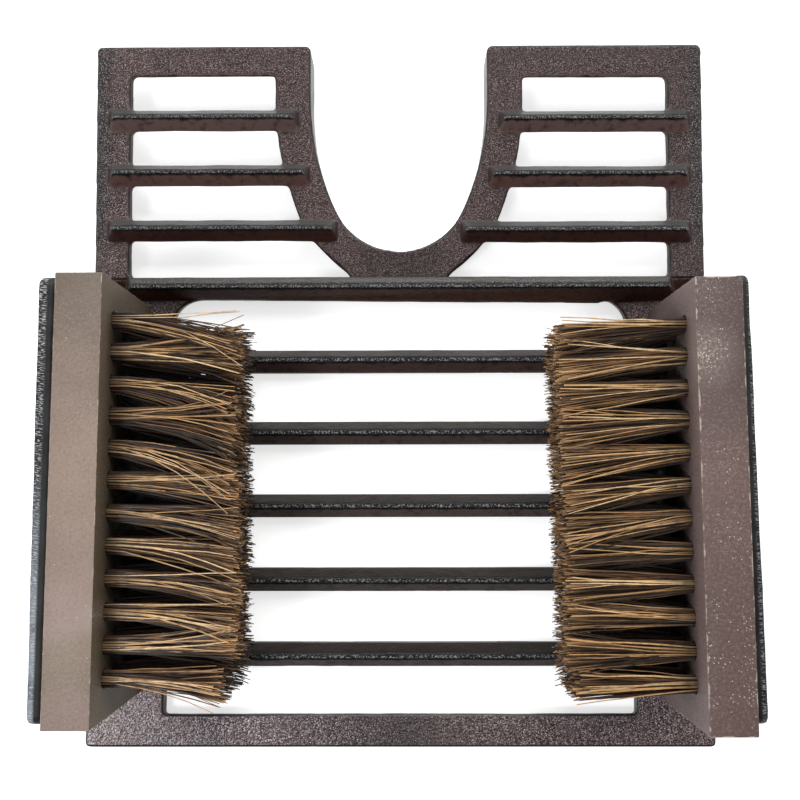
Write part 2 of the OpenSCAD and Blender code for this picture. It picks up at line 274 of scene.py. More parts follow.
# %% Helpers for materials and groups
def new_material(name):
    """An empty material: its node tree, its shader and a socket with Object coordinates."""
    material = bpy.data.materials.new(name)
    material.use_nodes = True
    tree = material.node_tree
    shader = tree.nodes["Principled BSDF"]
    place = node(tree, "ShaderNodeTexCoord").outputs["Object"]
    return material, tree, shader, place


def new_group(name, inputs, outputs):
    """An empty node group with named value sockets: its tree, its input node and its output node."""
    group = bpy.data.node_groups.new(name, "ShaderNodeTree")
    for socket, value in inputs.items():
        made = group.interface.new_socket(socket, in_out="INPUT", socket_type="NodeSocketFloat")
        made.default_value = value
    for socket in outputs:
        group.interface.new_socket(socket, in_out="OUTPUT", socket_type="NodeSocketFloat")
    return group, node(group, "NodeGroupInput").outputs, node(group, "NodeGroupOutput").inputs


def place_group(tree, group, values=None):
    """Places a node group in a material with its own values, and gives its outputs."""
    return node(tree, "ShaderNodeGroup", values, node_tree=group).outputs


# %% [markdown]
# ## Light and floor
# The scraper stands on white under soft daylight: brightest from behind, cooler from the left, and
# darker from the front. A graded world gives the soft part, one large lamp behind gives the pale
# rear slopes, and a smaller one gives the cool side. The floor is plain white. What the camera and
# reflections see of it gets a little glow, which makes it white without any more light on the
# object, and it still takes the shadow.

# %% World
world = bpy.data.worlds.new("daylight")
bpy.context.scene.world = world
world.use_nodes = True
sky = world.node_tree
direction = axes(sky, node(sky, "ShaderNodeTexCoord").outputs["Generated"])
front_level = 0.2
back_level = 0.6
level = span(sky, direction["Y"], -0.7, 0.7, front_level, back_level)
path = node(sky, "ShaderNodeLightPath").outputs
seen = math_node(sky, "MAXIMUM", path["Is Camera Ray"], path["Is Transmission Ray"])
strength = math_node(sky, "MAXIMUM", seen, level)
background = sky.nodes["Background"]
background.inputs["Color"].default_value = rgb(1.0, 1.0, 1.0)
sky.links.new(strength, background.inputs["Strength"])
print("world levels from front to back:", front_level, back_level)


# %% Lamps
def soft_lamp(name, place, size, power, colour):
    """A square lamp that points at the middle of the object."""
    bpy.ops.object.light_add(type="AREA", location=place)
    lamp = bpy.context.object
    lamp.name = name
    lamp.data.size = size
    lamp.data.energy = power
    lamp.data.color = colour
    lamp.rotation_euler = (-Vector(place)).to_track_quat("-Z", "Y").to_euler()


soft_lamp("back_window", (0.1, 1.3, 1.25), size=1.0, power=24.0, colour=(1.0, 0.985, 0.96))
soft_lamp("left_window", (-0.66, -0.56, 1.3), size=0.4, power=8.0, colour=(0.93, 0.96, 1.0))
bpy.context.scene.view_settings.view_transform = "Standard"

# %% Floor
floor_size = 12.0
floor_albedo = 0.8
floor_glow = 0.65
floor_gap = 0.05 * MM
bpy.ops.object.select_all(action="DESELECT")
bpy.ops.mesh.primitive_plane_add(size=floor_size, location=(0, 0, -floor_gap))
floor = bpy.context.object
floor.name = "floor"
floor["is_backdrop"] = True
paper, tree, shader, _ = new_material("white_paper")
shader.inputs["Base Color"].default_value = rgb(floor_albedo, floor_albedo, floor_albedo)
shader.inputs["Roughness"].default_value = 0.9
shader.inputs["Specular IOR Level"].default_value = 0.1
shader.inputs["Emission Color"].default_value = rgb(1.0, 1.0, 1.0)
path = node(tree, "ShaderNodeLightPath").outputs
seen = math_node(tree, "MAXIMUM", path["Is Camera Ray"], path["Is Glossy Ray"])
seen = math_node(tree, "MAXIMUM", seen, path["Is Transmission Ray"])
tree.links.new(times(tree, seen, floor_glow), shader.inputs["Emission Strength"])
floor.data.materials.append(paper)
print("floor:", floor_size, "metres")

# %% [markdown]
# ## Effects that several finishes share
# The hammered skin of the iron is a field of small crooked bumps a millimetre or two across, and
# highlights are painted on its pale peaks and brightest tips. Worn edges and darker corners follow
# the shape, so the meshes carry an attribute named edge: half on a flat face, more on an outer edge,
# less in a corner. Flecks are tiny dots of lost or spattered paint.


# %% Node group for the hammered skin
def make_hammered_skin():
    """Pebbles: their height, their pale peaks and their few brightest tips."""
    outputs = ["Height", "Peaks", "Sparks"]
    group, given, out = new_group("hammered_skin", {"Scale": 1300.0, "Crooked": 0.3}, outputs)
    place = node(group, "ShaderNodeTexCoord").outputs["Object"]
    pebbles = noise(group, place, given["Scale"], 2.0, roughness=0.6, distortion=given["Crooked"])
    tips = noise(group, place, 2000.0, 0.0)
    group.links.new(span(group, pebbles, 0.36, 0.64), out["Height"])
    group.links.new(span(group, pebbles, 0.46, 0.6), out["Peaks"])
    group.links.new(span(group, tips, 0.58, 0.7), out["Sparks"])
    return group


hammered_skin = make_hammered_skin()
print("made", hammered_skin.name)


# %% Node group for edges and corners
def make_edge_wear():
    """Rubbed edges and darker hollows, broken up into patches."""
    inputs = {"Start": 0.62, "Patchiness": 0.25, "Scale": 260.0}
    group, given, out = new_group("edge_wear", inputs, ["Worn", "Hollows"])
    place = node(group, "ShaderNodeTexCoord").outputs["Object"]
    patches = minus(group, noise(group, place, given["Scale"], 4.0), 0.5)
    broken = math_node(group, "ADD", attribute(group, "edge"), times(group, patches, given["Patchiness"]))
    group.links.new(span(group, minus(group, broken, given["Start"]), 0.0, 0.12), out["Worn"])
    group.links.new(span(group, broken, 0.46, 0.3), out["Hollows"])
    return group


edge_wear = make_edge_wear()
print("made", edge_wear.name)


# %% Node group for flecks
def make_flecks():
    """Small round dots, thrown in crowds."""
    group, given, out = new_group("flecks", {"Scale": 300.0, "Size": 0.2, "Amount": 0.1}, ["Mask"])
    place = node(group, "ShaderNodeTexCoord").outputs["Object"]
    cells = node(group, "ShaderNodeTexVoronoi", {"Vector": place, "Scale": given["Scale"]}).outputs
    luck = node(group, "ShaderNodeSeparateColor", {0: cells["Color"]}).outputs["Red"]
    crowds = noise(group, place, 38.0, 2.0)
    share = times(group, given["Amount"], span(group, crowds, 0.42, 0.66, 0.1, 2.2))
    lucky = math_node(group, "LESS_THAN", luck, share)
    near = math_node(group, "LESS_THAN", cells["Distance"], given["Size"])
    group.links.new(times(group, lucky, near), out["Mask"])
    return group


flecks = make_flecks()
print("made", flecks.name)

# %% [markdown]
# ## Iron
# The casting is dark brown iron, dip-painted and never polished. Flat tops are pebbly, with painted
# highlights as pale, pinkish high spots. The slopes of ribs and bars are smooth, redder at the front
# and greyer at the back: that grey is a painted sheen, and the front slopes' colour along Y carries
# painted light. Their ridges are rubbed to black metal with painted glints, so the meshes carry an
# attribute named ridge, which is one along a ridge's middle. Upright walls are dark, but the wall of
# the notch is smooth and mirrors the white floor. Light and wear change across the object: ramps along
# X and Y carry that, with positions in millimetres.

# %% Iron colours
near_black = rgb(0.010, 0.008, 0.008)
ridge_black = rgb(0.010, 0.009, 0.009)
# spark is the colour of painted glints.
spark = rgb(0.27, 0.27, 0.29)
# In both tone sets, speck and pale are the colours of painted highlights on the pebbles' peaks and brightest
# tips.
iron_tones = {"brown": rgb(0.034, 0.019, 0.017), "black": rgb(0.015, 0.009, 0.008),
              "speck": rgb(0.108, 0.070, 0.068), "pale": rgb(0.32, 0.25, 0.25)}
bar_tones = {"brown": rgb(0.018, 0.012, 0.010), "black": rgb(0.010, 0.008, 0.007),
             "speck": rgb(0.04, 0.032, 0.03), "pale": rgb(0.08, 0.07, 0.07)}
print("iron tones:", list(iron_tones))

# %% [markdown]
# ## Light on the pebbles
# In the picture, pebbles that face the daylight look many times paler at the left end of the front
# bar than in its middle, and the lamps above don't give that. So the colour of the tops is multiplied
# by levels of red, green and blue along X, found by comparing renders with the picture. This is light
# painted into the finish: it stays there under any other lamp. A ramp holds no colour above one, so
# the levels are divided by lift_scale first, and the product is scaled up again.

# %% Helpers for iron
lift_scale = 16.0
lift_fade = 30 * MM
brightest = 0.9
light_side = Vector((-0.6, 0.3, 0.75)).normalized()
# The neck gets painted shade: its tops are dimmed to neck_dark within neck_r, fading out by neck_reach.
neck_place = (0, 60 * MM, 0)
neck_dark, neck_r, neck_reach = 0.6, 14 * MM, 34 * MM
rim_start, rim_full, rim_black = 139 * MM, 144 * MM, 0.8
rim_front, rim_back = 60 * MM, 80 * MM
rim_ragged = 20 * MM


def facing(tree):
    """The X, Y and Z of the direction that the surface faces."""
    return axes(tree, node(tree, "ShaderNodeTexCoord").outputs["Normal"])


def plan_distance(tree, x, y, point):
    """How far a place is from a point, seen from above."""
    return vector_math(tree, "DISTANCE", node(tree, "ShaderNodeCombineXYZ", {0: x, 1: y}).outputs[0], point)


def ramp_along(tree, distance, *stops):
    """A ramp along an axis, through (millimetres, colour) stops."""
    start, end = stops[0][0], stops[-1][0]
    where = span(tree, distance, start * MM, end * MM)
    return ramp(tree, where, *(((stop - start) / (end - start), colour) for stop, colour in stops))


def lift_tops(tree, tops, bump, x, y, lifts, lift_reach):
    """Brightens what faces the light by levels along X, as far back as lift_reach, and dims the neck: painted
    light on the tops, and painted shade at the neck.
    """
    stops = [(stop, rgb(*(level / lift_scale for level in levels))) for stop, levels in lifts]
    near = span(tree, y, lift_reach, lift_reach + lift_fade, 1.0, 0.0)
    towards = vector_math(tree, "DOT_PRODUCT", bump, light_side)
    caught = times(tree, near, span(tree, towards, 0.4, 0.88))
    plain = 1 / lift_scale
    level = mix(tree, caught, rgb(plain, plain, plain), ramp_along(tree, x, *stops))
    lifted = vector_math(tree, "MULTIPLY", tops, level)
    from_neck = plan_distance(tree, x, y, neck_place)
    dim = span(tree, from_neck, neck_r, neck_reach, neck_dark * lift_scale, lift_scale)
    lifted = node(tree, "ShaderNodeVectorMath", {0: lifted, "Scale": dim}, operation="SCALE").outputs[0]
    return vector_math(tree, "MINIMUM", lifted, [brightest] * 3)


def wing_rims(tree, x, y, stains):
    """Where the outer rims of the jack's wings are drawn black, with a ragged border."""
    ragged = times(tree, minus(tree, stains, 0.5), rim_ragged)
    outward = math_node(tree, "ADD", math_node(tree, "ABSOLUTE", x), ragged)
    across = span(tree, outward, rim_start, rim_full, 0.0, rim_black)
    return times(tree, across, span(tree, y, rim_front, rim_back))


def rub_ridges(tree, colour, place, stains):
    """Rubs ridges to black metal, with painted glints along the middle."""
    ridge = attribute(tree, "ridge")
    uneven = times(tree, minus(tree, stains, 0.5), 0.3)
    banded = span(tree, math_node(tree, "ADD", ridge, uneven), 0.62, 0.76)
    # Painted glints along the ridge's middle.
    sparks = noise(tree, place, 1500.0, 1.0)
    glint = times(tree, span(tree, sparks, 0.5, 0.64), span(tree, ridge, 0.82, 0.93))
    return mix(tree, banded, colour, mix(tree, glint, ridge_black, spark))


# %% Iron finish
notch_r = 46 * MM
dull_share = 0.12


def make_iron(name, tones, front_slopes, back_slope, grain, bump_depth, shine, lifts, lift_reach):
    """Iron with pebbly tops. front_slopes run along Y and carry painted light, and lifts paint light on the
    tops along X.
    """
    material, tree, shader, place = new_material(name)
    x, y, _ = axes(tree, place)
    faces = facing(tree)
    slope = attribute(tree, "slope")
    skin = place_group(tree, hammered_skin, {"Scale": grain})
    wear = place_group(tree, edge_wear, {"Start": 0.7, "Patchiness": 0.16})
    clouds = noise(tree, place, 45.0, 4.0)
    stains = noise(tree, place, 260.0, 4.0)

    sloped = span(tree, slope, 0.05, 0.13)
    wall = span(tree, slope, 0.68, 0.9)
    smooth = math_node(tree, "MAXIMUM", times(tree, sloped, 0.75), times(tree, wall, 0.9))
    height = times(tree, skin["Height"], minus(tree, 1.0, smooth))
    bump = node(tree, "ShaderNodeBump", {"Height": height, "Distance": bump_depth, "Strength": 1.0})
    bump = bump.outputs["Normal"]

    # Painted highlights: the pebbles' peaks and brightest tips take the paler colours.
    tops = ramp(tree, clouds, (0.35, tones["black"]), (0.62, tones["brown"]))
    tops = mix(tree, skin["Peaks"], tops, tones["speck"])
    tops = mix(tree, skin["Sparks"], tops, tones["pale"])
    tops = lift_tops(tree, tops, bump, x, y, lifts, lift_reach)
    # The outer rims of the wings are drawn black, with painted glints on the brightest tips.
    tops = mix(tree, wing_rims(tree, x, y, stains), tops, mix(tree, skin["Sparks"], ridge_black, spark))

    # Painted light on the slopes: front_slopes change the front slopes' colour along Y, and back_slope is the
    # colour of slopes that face back, grey on the frame and jack as a painted sheen.
    in_front = span(tree, faces["Y"], -0.1, -0.4)
    at_end = span(tree, math_node(tree, "ABSOLUTE", faces["X"]), 0.25, 0.5)
    sooty = span(tree, stains, 0.5, 0.72, 0.0, 0.6)
    front = mix(tree, sooty, ramp_along(tree, y, *front_slopes), near_black)
    slopes = mix(tree, in_front, mix(tree, at_end, back_slope, tones["brown"]), front)

    body = mix(tree, wall, mix(tree, sloped, tops, slopes), tones["black"])
    # Darker in hollows, where the edge attribute is low.
    darker_hollows = mix(tree, times(tree, wear["Hollows"], 0.6), body, near_black)
    rubbed = mix(tree, wear["Worn"], darker_hollows, ridge_black)
    tree.links.new(rub_ridges(tree, rubbed, place, stains), shader.inputs["Base Color"])
    tree.links.new(span(tree, clouds, 0.3, 0.7, 0.26, 0.38), shader.inputs["Roughness"])
    past_notch = math_node(tree, "GREATER_THAN", math_node(tree, "ABSOLUTE", x), notch_r)
    dull = math_node(tree, "MAXIMUM", times(tree, wall, past_notch), times(tree, in_front, sloped))
    shininess = span(tree, dull, 0.0, 1.0, shine, dull_share * shine)
    tree.links.new(shininess, shader.inputs["Specular IOR Level"])
    tree.links.new(bump, shader.inputs["Normal"])
    return material


# %% Iron of the frame, the jack and the bars
# iron_slopes and bar_slopes carry painted light along Y on the front slopes.
iron_slopes = ((45, rgb(0.053, 0.0233, 0.016)), (77, rgb(0.050, 0.022, 0.017)),
               (104, rgb(0.149, 0.083, 0.073)), (131, rgb(0.160, 0.107, 0.094)))
bar_slopes = ((-125, rgb(0.062, 0.047, 0.042)), (-55, rgb(0.090, 0.068, 0.060)),
              (15, rgb(0.066, 0.039, 0.033)))
front_lifts = ((-147, (15.0, 16.0, 16.0)), (-125, (13.0, 14.8, 16.0)), (-95, (6.0, 6.9, 7.6)),
               (-50, (2.3, 2.6, 2.8)), (0, (0.45, 0.5, 0.55)), (60, (1.9, 2.0, 2.05)),
               (105, (2.8, 2.9, 3.0)), (147, (4.0, 4.1, 4.1)))
jack_lifts = ((-147, (1.0, 1.0, 1.02)), (-130, (1.5, 1.45, 1.45)), (-116, (0.95, 0.87, 0.87)),
              (0, (0.90, 0.82, 0.82)), (147, (0.60, 0.53, 0.53)))
even_lifts = ((-147, (1.0, 1.0, 1.0)), (147, (1.0, 1.0, 1.0)))
front_bar_reach = -145 * MM
whole_reach = 170 * MM
frame_iron = make_iron("frame_iron", iron_tones, iron_slopes, rgb(0.064, 0.060, 0.056), grain=950.0,
                       bump_depth=0.45 * MM, shine=0.6, lifts=front_lifts, lift_reach=front_bar_reach)
jack_iron = make_iron("jack_iron", iron_tones, iron_slopes, rgb(0.066, 0.064, 0.060), grain=1300.0,
                      bump_depth=0.4 * MM, shine=0.45, lifts=jack_lifts, lift_reach=whole_reach)
bar_iron = make_iron("bar_iron", bar_tones, bar_slopes, rgb(0.018, 0.012, 0.009), grain=1300.0,
                     bump_depth=0.25 * MM, shine=0.2, lifts=even_lifts, lift_reach=whole_reach)
print("iron finishes:", frame_iron.name, jack_iron.name, bar_iron.name)

# %% [markdown]
# ## The cheeks' iron
# The cheeks are smoother and blacker than the rest. Their upper edges look filed: pale strokes run
# across them. A noise that is stretched along X draws such strokes. On the left, the front half of
# the edge also mirrors a cool sky.

# %% Cheek finish
filed_low, filed_high = 69.5 * MM, 71.5 * MM
filed_right, filed_left = 144.6 * MM, 146.2 * MM
sky_start, sky_full = -40 * MM, -100 * MM


def make_cheek_iron():
    """Black iron with a filed upper edge."""
    material, tree, shader, place = new_material("cheek_iron")
    x, y, z = axes(tree, place)
    left = math_node(tree, "LESS_THAN", x, 0.0)
    filed_from = span(tree, left, 0.0, 1.0, filed_right, filed_left)
    past = minus(tree, math_node(tree, "ABSOLUTE", x), filed_from)
    on_edge = times(tree, span(tree, past, 0.0, 1 * MM), span(tree, z, filed_low, filed_high))
    clouds = noise(tree, place, 60.0, 4.0)
    slanted = math_node(tree, "ADD", y, times(tree, x, 0.15))
    stretched = node(tree, "ShaderNodeCombineXYZ", {0: times(tree, x, 0.25), 1: slanted}).outputs[0]
    streaks = noise(tree, stretched, 2100.0, 2.0, roughness=0.6)
    share = times(tree, on_edge, span(tree, left, 0.0, 1.0, 0.65, 1.0))
    strokes = times(tree, span(tree, streaks, 0.51, 0.62), share)
    # sky is a painted reflection of a cool sky on the front half of the left edge.
    sky = times(tree, times(tree, left, on_edge), span(tree, y, sky_start, sky_full))
    sky = times(tree, sky, span(tree, clouds, 0.36, 0.5, 0.15, 0.8))
    body = ramp(tree, clouds, (0.4, rgb(0.009, 0.009, 0.009)), (0.65, rgb(0.022, 0.024, 0.022)))
    lit = mix(tree, sky, body, rgb(0.30, 0.34, 0.38))
    tree.links.new(mix(tree, strokes, lit, rgb(0.46, 0.47, 0.50)), shader.inputs["Base Color"])
    shader.inputs["Roughness"].default_value = 0.5
    shader.inputs["Specular IOR Level"].default_value = 0.3
    bump = node(tree, "ShaderNodeBump", {"Height": streaks, "Distance": 0.2 * MM, "Strength": 0.7})
    tree.links.new(bump.outputs["Normal"], shader.inputs["Normal"])
    return material


cheek_iron = make_cheek_iron()
print("made", cheek_iron.name)

# %% [markdown]
# ## Casting
# A sand casting has no sharp edges: every corner is rounded and every joint has a small fillet.
# Bevelling each edge by hand would take hundreds of picks. Instead the merged CAD copies are
# remeshed in small voxels, which fuses what touches, and then smoothed: first only sideways, which
# rounds the corners of slots and keeps the ridges high, and then all round. Two displacements add
# the slow waves and the small lumps of sand-cast iron. A pattern has to leave the sand, so openings
# are a little longer at the bottom than at the top: that is called draft.


# %% Helpers for casting
sand_level = 0.05
touch, slack = 0.01 * MM, 0.1 * MM


def make_cloud(name, size):
    """A cloudy texture for displacing."""
    texture = bpy.data.textures.new(name, type="CLOUDS")
    texture.noise_scale = size
    texture.noise_depth = 2
    return texture


sand_waves = make_cloud("sand_waves", 22 * MM)
sand_lumps = make_cloud("sand_lumps", 4 * MM)


def cast(obj, voxel, corner_steps, edge_steps, wave, lump):
    """Turns a sharp copy into a casting."""
    shape_with(obj, "REMESH", mode="VOXEL", voxel_size=voxel)
    if corner_steps:
        shape_with(obj, "SMOOTH", factor=0.5, iterations=corner_steps, use_z=False)
    shape_with(obj, "SMOOTH", factor=0.5, iterations=edge_steps)
    for texture, strength in ((sand_waves, wave), (sand_lumps, lump)):
        shape_with(obj, "DISPLACE", texture=texture, texture_coords="LOCAL", strength=strength,
                   mid_level=sand_level)
    only(obj)
    bpy.ops.object.shade_smooth()


def give_draft(points, bottom, start, end, at_start, at_end):
    """Stretches the bottom of an opening from start to end along Y."""
    y = points[:, 1]
    inside = bottom & (y > start - touch) & (y < end + touch)
    share = (y - start) / (end - start)
    points[inside, 1] += (at_start + share * (at_end - at_start))[inside]


# %% Helpers for marking edges and ridges
ridge_fade = 1.5 * MM


def write_attribute(mesh, name, values):
    """Gives each vertex of a mesh a value, which materials can read."""
    mesh.attributes.new(name, "FLOAT", "POINT").data.foreach_set("value", values.astype(np.float32))


def mark_edges(obj, reach):
    """Writes the edge and slope attributes from the bend and the tilt of the surface."""
    mesh = obj.data
    points = points_of(obj)
    normals = np.empty(len(points) * 3)
    mesh.vertices.foreach_get("normal", normals)
    normals = normals.reshape(-1, 3)
    ends = np.empty(len(mesh.edges) * 2, dtype=int)
    mesh.edges.foreach_get("vertices", ends)
    first, second = ends.reshape(-1, 2).T
    links = np.bincount(ends, minlength=len(points)).clip(1)

    def average(values):
        total = np.zeros_like(values)
        np.add.at(total, first, values[second])
        np.add.at(total, second, values[first])
        return (total.T / links).T

    bend = ((points - average(points)) * normals).sum(axis=1)
    tilt = 1.0 - np.abs(normals[:, 2])
    for _ in range(2):
        bend = (bend + average(bend)) / 2
        tilt = (tilt + average(tilt)) / 2
    write_attribute(mesh, "edge", np.clip(0.5 + bend / reach / 2, 0, 1))
    write_attribute(mesh, "slope", np.clip(tilt, 0, 1))


def mark_ridges(obj, middles, half_w, foot):
    """Writes the ridge attribute: one along ridges at some Y, zero at half_w from them or below foot."""
    _, y, z = points_of(obj).T
    away = np.min([np.abs(y - middle) for middle in middles], axis=0)
    raised = np.clip((z - foot(y)) / ridge_fade, 0, 1)
    write_attribute(obj.data, "ridge", np.clip(1 - away / half_w, 0, 1) * raised)


# %% [markdown]
# ## Frame
# The frame is a ring of flat bars with a ridged beam at its back. Its opening gets draft below. The
# real opening isn't quite square, so the upper edges along the beam and along the front bar are
# moved along Y before the remesh, each by one amount at its left end and another at its right end.

# %% Frame
casting_voxel = 0.85 * MM
ridge_half_w = 5 * MM
opening_x = 111 * MM
front_bar_w, beam_w = 15 * MM, 10 * MM
beam_foot = 12 * MM
frame_low, frame_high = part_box("base_frame")
seam_y = frame_high.y
opening_front, opening_back = frame_low.y + front_bar_w, seam_y - beam_w
front_draft, back_draft = -1.6 * MM, 1.5 * MM
edge_moves = {opening_back: (0.6 * MM, -2.1 * MM), opening_front: (1.4 * MM, 1.4 * MM)}

casting = copy_of("frame_iron", "base_frame")
points = points_of(casting)
bottom = (points[:, 2] < touch) & (np.abs(points[:, 0]) < opening_x + touch)
give_draft(points, bottom, opening_front, opening_back, front_draft, back_draft)
raised = (points[:, 2] > slack) & (np.abs(points[:, 0]) < opening_x)
for edge_y, moves in edge_moves.items():
    on_edge = raised & (np.abs(points[:, 1] - edge_y) < touch)
    points[on_edge, 1] += np.interp(points[on_edge, 0], (-opening_x, opening_x), moves)
move_points(casting, points)
cast(casting, casting_voxel, corner_steps=4, edge_steps=1, wave=0.5 * MM, lump=0.12 * MM)
keep_inside(casting, frame_low, frame_high)
mark_edges(casting, reach=0.2 * MM)
mark_ridges(casting, [seam_y - beam_w / 2], ridge_half_w, lambda y: np.full_like(y, beam_foot))
finish_piece(casting, frame_iron, "iron", "base_frame")

# %% [markdown]
# ## Boot jack
# The jack is a plate that rises to the back, with slots, ribs and a heel notch. It laps into the
# frame, so that no seam shows. The inner edges of the two slots beside the neck slant outwards from
# neck_x. They are bent to the real curve, by steps that are counted from the seam. The two wings of
# the real casting aren't quite alike either, so the ribs and slots on the right are slid forward at
# the end.

# %% Sizes of the boot jack
jack_low, jack_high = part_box("boot_jack")
seam_overlap, seam_drop = 1 * MM, 0.3 * MM
slots_x = 130.5 * MM
slot_draft = 1.9 * MM
plate_t = 5 * MM
jack_z, jack_rise = 13 * MM, 6 * MM
rib_count = 3
rib_first, rib_pitch, rib_w = 22.4 * MM, 27 * MM, 10 * MM
rib_foot = 2.5 * MM
rib_ys = [seam_y + rib_first + index * rib_pitch for index in range(rib_count)]
slot_starts = [seam_y] + [rib_y + rib_w / 2 for rib_y in rib_ys]
slot_ends = [rib_y - rib_w / 2 for rib_y in rib_ys + [rib_ys[-1] + rib_pitch]]
neck_x, neck_slant, neck_end_x, neck_l = 20 * MM, 0.6, 80 * MM, 17.5 * MM
neck_steps = np.array((0, 1, 4, 9, 17.4)) * MM
neck_moves = np.array((-2.5, -1.0, 1.0, 1.5, 0.8)) * MM
wing_x, wing_fade = 60 * MM, 8 * MM
wing_slides = (0.1 * MM, -1 * MM)


def plate_top(y):
    """The height of the jack's plate, which rises to the back."""
    return jack_z + jack_rise * (y - seam_y) / (jack_high.y - seam_y)


print("ribs behind the seam, in millimetres:", [round((rib_y - seam_y) / MM, 1) for rib_y in rib_ys])

# %% Boot jack
jack = copy_of("jack_iron", "boot_jack")
points = points_of(jack)
under = np.abs(points[:, 2] - plate_top(points[:, 1]) + plate_t) < slack
bottom = under & (np.abs(points[:, 0]) < slots_x + touch)
for start, end in zip(slot_starts, slot_ends):
    give_draft(points, bottom, start, end, 0.0, slot_draft)
from_middle, reach = np.abs(points[:, 0]), points[:, 1] - seam_y
at_neck = (reach > -touch) & (reach < neck_l) & (from_middle < neck_end_x)
at_neck &= from_middle > neck_x + neck_slant * reach
points[at_neck, 0] -= (np.sign(points[:, 0]) * np.interp(reach, neck_steps, neck_moves))[at_neck]
at_seam = np.abs(points[:, 1] - seam_y) < touch
points[at_seam, 1] -= seam_overlap
points[at_seam & (points[:, 2] > jack_z - slack), 2] -= seam_drop
move_points(jack, points)
cast(jack, casting_voxel, corner_steps=4, edge_steps=1, wave=0.5 * MM, lump=0.12 * MM)
jack_low.y -= seam_overlap
keep_inside(jack, jack_low, jack_high)
mark_edges(jack, reach=0.2 * MM)
mark_ridges(jack, rib_ys, ridge_half_w, lambda y: plate_top(y) + rib_foot)
points = points_of(jack)
x, y, _ = points.T
free = np.clip((y - seam_y) / wing_fade, 0, 1) * np.clip((jack_high.y - y) / wing_fade, 0, 1)
points[:, 1] += np.interp(x, (-wing_x, wing_x), wing_slides) * free
move_points(jack, points)
finish_piece(jack, jack_iron, "iron", "boot_jack")

# %% [markdown]
# ## Scraper bars
# Five ridged bars cross the opening. Each is cast like the frame, in finer voxels, and its ends run
# into the side rails, so that no gap shows there.

# %% Scraper bars
bar_count = 5
bar_voxel = 0.7 * MM
bar_overlap = 3 * MM
bar_ridge_h = 4 * MM
for index in range(1, bar_count + 1):
    cad_name = f"scraper_bar_{index}"
    bar = copy_of(f"bar_{index}", cad_name)
    points = points_of(bar)
    points[:, 0] += np.sign(points[:, 0]) * bar_overlap
    move_points(bar, points)
    cast(bar, bar_voxel, corner_steps=0, edge_steps=2, wave=0.7 * MM, lump=0.2 * MM)
    low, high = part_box(cad_name)
    low.x -= bar_overlap
    high.x += bar_overlap
    keep_inside(bar, low, high)
    mark_edges(bar, reach=0.22 * MM)
    ridge_foot = high.z - bar_ridge_h
    mark_ridges(bar, [(low.y + high.y) / 2], (high.y - low.y) / 2, lambda y: np.full_like(y, ridge_foot))
    finish_piece(bar, bar_iron, "iron", cad_name)

# %% [markdown]
# ## Cheeks
# A cheek is an upright plate along the outside of a brush block, and its foot runs into the rail. The
# upper edges of the real ones aren't straight, so the top of each is drawn out or in, by an amount
# that changes from front to back.

# %% Cheeks
cheek_voxel = 1.1 * MM
cheek_overlap = 2 * MM
cheek_inner, cheek_outer = 141 * MM, 147 * MM
cheek_flare = {"left": (2.2 * MM, 3.4 * MM), "right": (0.4 * MM, -1 * MM)}
flare_z, flare_h = 56 * MM, 12 * MM
for side in ("left", "right"):
    cad_name = f"{side}_cheek"
    cheek = copy_of(f"{side}_cheek_iron", cad_name)
    low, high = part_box(cad_name)
    points = points_of(cheek)
    points[points[:, 2] < low.z + touch, 2] -= cheek_overlap
    move_points(cheek, points)
    cast(cheek, cheek_voxel, corner_steps=0, edge_steps=3, wave=0.8 * MM, lump=0.3 * MM)
    low.z -= cheek_overlap
    keep_inside(cheek, low, high)
    points = points_of(cheek)
    x, y, z = points.T
    outer = np.clip((np.abs(x) - cheek_inner) / (cheek_outer - cheek_inner), 0, 1)
    upper = np.clip((z - flare_z) / flare_h, 0, 1)
    points[:, 0] += np.sign(x) * np.interp(y, (low.y, high.y), cheek_flare[side]) * outer * upper
    move_points(cheek, points)
    finish_piece(cheek, cheek_iron, "iron", cad_name)

# %% [markdown]
# ## Brush blocks
# Each block is a length of planed wood, bored with rows of holes for the tufts and then painted. It
# starts as a box, its edges are eased, and one drill bit is repeated in rows and columns and taken
# away from it. The paint has to know where the edges are, so that it can wear off there: on a box
# that is the middle one of a point's three distances from the faces. The inner face's own colour
# carries painted light, darker than the top on the left block and paler on the right one, and
# painted shade darkens it down towards the tufts.

# %% Sizes of the blocks
slice_t = 2.5 * MM
tuft_columns = 12
tuft_rows = 4
tuft_end_gap = 17 * MM
tuft_top_gap = 17 * MM
tuft_row_pitch = 14.5 * MM
tuft_hole_d = 8 * MM
tuft_hole_l = 11.5 * MM
inwards = {"left": 1, "right": -1}


def block_box(side):
    """The whole block's lowest and highest corner, with the slice that the bristle rows hold in CAD."""
    low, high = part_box(f"{side}_brush_block")
    if side == "left":
        high.x += slice_t
    else:
        low.x -= slice_t
    return low, high


def tuft_place(side, row, column):
    """Where a tuft leaves the face of its block."""
    low, high = block_box(side)
    pitch = (high.y - low.y - 2 * tuft_end_gap) / (tuft_columns - 1)
    x = high.x if side == "left" else low.x
    return Vector((x, low.y + tuft_end_gap + column * pitch, high.z - tuft_top_gap - row * tuft_row_pitch))


print("first tuft on the left:", [round(c / MM, 1) for c in tuft_place("left", 0, 0)])


# %% Helpers for paint
def edge_distance(tree, place, low, high):
    """How far a point on a box is from the box's nearest edge."""
    away = vector_math(tree, "ABSOLUTE", vector_math(tree, "SUBTRACT", place, (low + high) / 2))
    x, y, z = axes(tree, vector_math(tree, "SUBTRACT", (high - low) / 2, away))
    larger = math_node(tree, "MINIMUM", math_node(tree, "MAXIMUM", x, y), z)
    return math_node(tree, "MAXIMUM", math_node(tree, "MINIMUM", x, y), larger)


